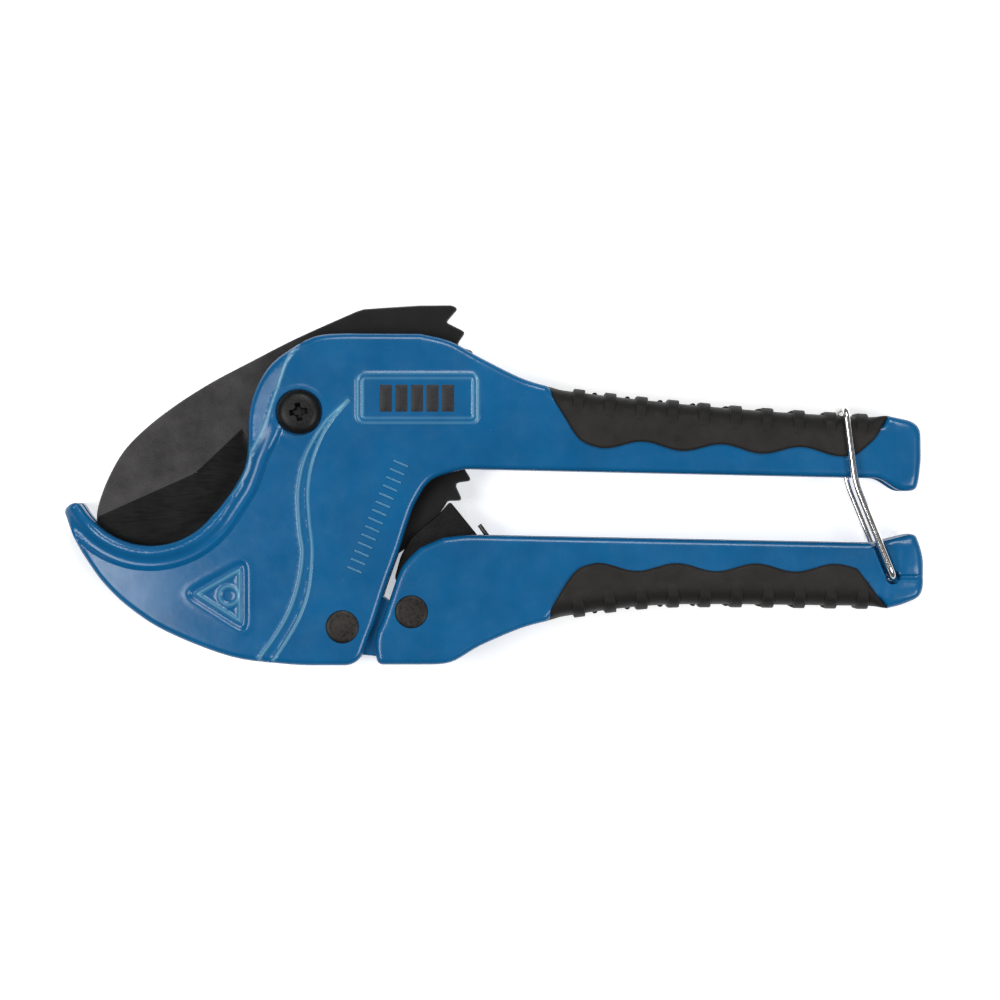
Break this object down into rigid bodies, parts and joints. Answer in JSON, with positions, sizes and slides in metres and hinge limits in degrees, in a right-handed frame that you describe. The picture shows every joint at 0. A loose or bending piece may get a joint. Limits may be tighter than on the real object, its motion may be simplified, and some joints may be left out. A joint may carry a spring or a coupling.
{
  "type": "ratcheting pipe cutter",
  "caption": "Hand tool for cutting plastic pipe: a hooked jaw, a toothed pivoting blade driven by a pawl lever, soft grips and a wire latch.",
  "frame": {"origin": "on the blade's pivot axis, in the plane of the casting's back face", "axes": "+X from the pivot towards the ends of the handles, +Y away from the lever, +Z along the pivot axis towards the screw's head"},
  "size_m": [0.2271, 0.0956, 0.0234],
  "materials": {
    "painted_blue": "satin enamel with light orange peel over die-cast aluminium",
    "lever_blue": "satin enamel over die-cast aluminium",
    "grip_rubber": "matt moulded elastomer",
    "blade_steel": "black low-friction coating over ground steel",
    "black_steel": "black oxide",
    "zinc_steel": "plain zinc-plated steel",
    "bright_wire": "bright spring wire",
    "nylon": "natural nylon"
  },
  "bodies": {
    "frame": {"frame_body": "painted_blue", "upper_grip": "grip_rubber", "blade_screw": "black_steel", "blade_nut": "black_steel", "nut_insert": "nylon", "pivot_bush": "zinc_steel", "blade_shim_near": "zinc_steel", "blade_shim_far": "zinc_steel", "lever_pin": "black_steel", "lever_spring": "bright_wire"},
    "blade": {"blade": "blade_steel"},
    "lever": {"lower_handle": "lever_blue", "lower_grip": "grip_rubber", "pawl_pin": "black_steel", "pawl_spacer_near": "zinc_steel", "pawl_spacer_far": "zinc_steel", "pawl_spring": "black_steel"},
    "pawl": {"pawl": "black_steel"},
    "latch": {"latch_bail": "bright_wire"}
  },
  "joints": [
    {"name": "blade_swing", "type": "hinge", "parent": "frame", "child": "blade", "pos_m": [0, 0, 0.009], "axis": [0, 0, -1], "range_deg": [0, 60]},
    {"name": "lever_swing", "type": "hinge", "parent": "frame", "child": "lever", "pos_m": [0.0114, -0.05665, 0.009], "axis": [0, 0, -1], "range_deg": [0, 19], "deforming": ["lever_spring"]},
    {"name": "pawl_swing", "type": "hinge", "parent": "lever", "child": "pawl", "pos_m": [0.0296, -0.0527, 0.009], "axis": [0, 0, -1], "range_deg": [-26.5, 0], "deforming": ["pawl_spring"]},
    {"name": "latch_swing", "type": "hinge", "parent": "lever", "child": "latch", "pos_m": [0.1566, -0.0435, 0.009], "axis": [0, 0, -1], "range_deg": [0, 270]}
  ],
  "couplings": [
    {"joint": "pawl_swing", "follows": "lever_swing", "ratio": -1.38},
    {"joint": "latch_swing", "follows": "lever_swing", "ratio": 14.2}
  ]
}
